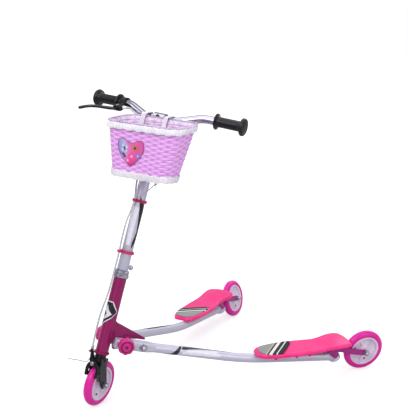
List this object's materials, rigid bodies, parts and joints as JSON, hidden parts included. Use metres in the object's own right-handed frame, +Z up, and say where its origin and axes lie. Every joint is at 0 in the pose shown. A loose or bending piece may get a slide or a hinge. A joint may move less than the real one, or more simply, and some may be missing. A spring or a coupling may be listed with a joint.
{
  "type": "three wheel kids scooter",
  "caption": "Child's scooter with a steered front wheel, a footplate and caster wheel on each of two splayed folding arms, a hand brake and a handlebar basket.",
  "frame": {"origin": "on the ground under the middle of the bounding box", "axes": "forward is -Y, the rider's left is +X, up is +Z"},
  "size_m": [0.6504, 0.8518, 0.8272],
  "materials": {
    "magenta_paint": "gloss",
    "chrome": "polished",
    "steel": "satin",
    "cable_sheath": "gloss",
    "silver_paint": "gloss",
    "black_paint": "satin",
    "black_plastic": "satin",
    "black_rubber": "matte",
    "pad": "matte",
    "pink_plastic": "gloss",
    "tyre": "gloss",
    "hub_plastic": "gloss",
    "basket_weave": "matte",
    "white_plastic": "satin"
  },
  "bodies": {
    "frame": {"frame_weldment": "magenta_paint", "headset_lower_cup": "magenta_paint", "headset_upper_cup": "chrome", "headset_lower_bearing": "steel", "headset_upper_bearing": "steel", "pivot_bolt_left": "steel", "pivot_bolt_right": "steel"},
    "steering": {"fork": "black_paint", "headset_locknut": "chrome", "steering_column": "silver_paint", "cable_clip_lower": "magenta_paint", "cable_clip_upper": "magenta_paint", "handlebar": "chrome", "handlebar_clamp": "steel", "clamp_bolt": "black_paint", "grip_left": "black_rubber", "grip_right": "black_rubber", "brake_lever_bracket": "black_plastic", "lever_pivot_pin": "steel", "brake_cable": "cable_sheath", "caliper_bolt": "steel", "basket": "basket_weave", "basket_rim": "white_plastic", "basket_strap_left": "white_plastic", "basket_strap_right": "white_plastic", "basket_tie": "white_plastic", "front_axle": "steel"},
    "front_wheel": {"front_hub": "hub_plastic", "front_tyre": "tyre"},
    "brake_lever": {"brake_lever": "black_paint"},
    "caliper_left": {"caliper_arm_left": "black_paint", "brake_shoe_left": "black_rubber", "brake_inner_wire": "steel"},
    "caliper_right": {"caliper_arm_right": "black_paint", "brake_shoe_right": "black_rubber"},
    "column_pin": {"column_pull_pin": "chrome"},
    "barrel_adjuster": {"barrel_adjuster": "steel"},
    "arm_left": {"arm_tube_left": "silver_paint", "hinge_end_left": "silver_paint", "cross_bolt_left": "chrome", "footplate_left": "pink_plastic", "grip_pad_left": "pad"},
    "knob_left": {"clamp_knob_left": "pink_plastic"},
    "caster_left": {"caster_fork_left": "magenta_paint", "caster_kingpin_left": "steel", "rear_axle_left": "steel"},
    "rear_wheel_left": {"rear_hub_left": "hub_plastic", "rear_tyre_left": "tyre"},
    "arm_right": {"arm_tube_right": "silver_paint", "hinge_end_right": "silver_paint", "cross_bolt_right": "chrome", "footplate_right": "pink_plastic", "grip_pad_right": "pad"},
    "knob_right": {"clamp_knob_right": "pink_plastic"},
    "caster_right": {"caster_fork_right": "magenta_paint", "caster_kingpin_right": "steel", "rear_axle_right": "steel"},
    "rear_wheel_right": {"rear_hub_right": "hub_plastic", "rear_tyre_right": "tyre"}
  },
  "joints": [
    {"name": "steering", "type": "hinge", "parent": "frame", "child": "steering", "pos_m": [0, -0.31383, 0.28439], "axis": [0, 0.3173, 0.9483], "range_deg": [-68.3, 21.7]},
    {"name": "front_wheel_spin", "type": "hinge", "parent": "steering", "child": "front_wheel", "pos_m": [-0.01056, -0.36238, 0.06199], "axis": [0.9184, 0.3751, -0.1255], "continuous": true},
    {"name": "brake_lever_pull", "type": "hinge", "parent": "steering", "child": "brake_lever", "pos_m": [-0.12111, -0.20766, 0.78434], "axis": [-0.1839, 0.2445, -0.952], "range_deg": [0, 15], "stiffness_Nm_per_rad": 0.6},
    {"name": "caliper_left_close", "type": "hinge", "parent": "steering", "child": "caliper_left", "pos_m": [0.01107, -0.39152, 0.13323], "axis": [-0.3955, 0.871, -0.2914], "range_deg": [0, 2.1]},
    {"name": "caliper_right_close", "type": "hinge", "parent": "steering", "child": "caliper_right", "pos_m": [0.01107, -0.39152, 0.13323], "axis": [0.3955, -0.871, 0.2914], "range_deg": [0, 2.1]},
    {"name": "column_pin_pull", "type": "slide", "parent": "steering", "child": "column_pin", "axis": [-0.3955, 0.871, -0.2914], "range_m": [0, 0.006], "stiffness_N_per_m": 500},
    {"name": "barrel_adjuster_turn", "type": "hinge", "parent": "steering", "child": "barrel_adjuster", "pos_m": [-0.1057, -0.19659, 0.78421], "axis": [-0.9455, -0.3087, 0.1033], "range_deg": [-360, 360]},
    {"name": "arm_left_fold", "type": "hinge", "parent": "frame", "child": "arm_left", "pos_m": [0.02684, -0.30581, 0.177], "axis": [0.933, -0.36, 0], "range_deg": [0, 60]},
    {"name": "clamp_knob_left_turn", "type": "hinge", "parent": "frame", "child": "knob_left", "pos_m": [0.02684, -0.30581, 0.177], "axis": [0.933, -0.36, 0], "range_deg": [0, 360]},
    {"name": "caster_left_swivel", "type": "hinge", "parent": "arm_left", "child": "caster_left", "pos_m": [0.25745, 0.2724, 0.0636], "axis": [0, -0.4555, 0.8902], "range_deg": [-16.6, 63.4]},
    {"name": "rear_wheel_left_spin", "type": "hinge", "parent": "caster_left", "child": "rear_wheel_left", "pos_m": [0.2934, 0.36674, 0.06156], "axis": [0.9178, -0.3535, -0.1809], "continuous": true},
    {"name": "arm_right_fold", "type": "hinge", "parent": "frame", "child": "arm_right", "pos_m": [-0.02684, -0.30581, 0.177], "axis": [0.933, 0.36, 0], "range_deg": [0, 60]},
    {"name": "clamp_knob_right_turn", "type": "hinge", "parent": "frame", "child": "knob_right", "pos_m": [-0.02684, -0.30581, 0.177], "axis": [0.933, 0.36, 0], "range_deg": [0, 360]},
    {"name": "caster_right_swivel", "type": "hinge", "parent": "arm_right", "child": "caster_right", "pos_m": [-0.25745, 0.2724, 0.0636], "axis": [0, -0.4555, 0.8902], "range_deg": [-63.4, 16.6]},
    {"name": "rear_wheel_right_spin", "type": "hinge", "parent": "caster_right", "child": "rear_wheel_right", "pos_m": [-0.2934, 0.36674, 0.06156], "axis": [-0.9178, -0.3535, -0.1809], "continuous": true}
  ],
  "couplings": [
    {"joint": "caliper_left_close", "follows": "brake_lever_pull", "ratio": 0.13},
    {"joint": "caliper_right_close", "follows": "brake_lever_pull", "ratio": 0.13}
  ]
}
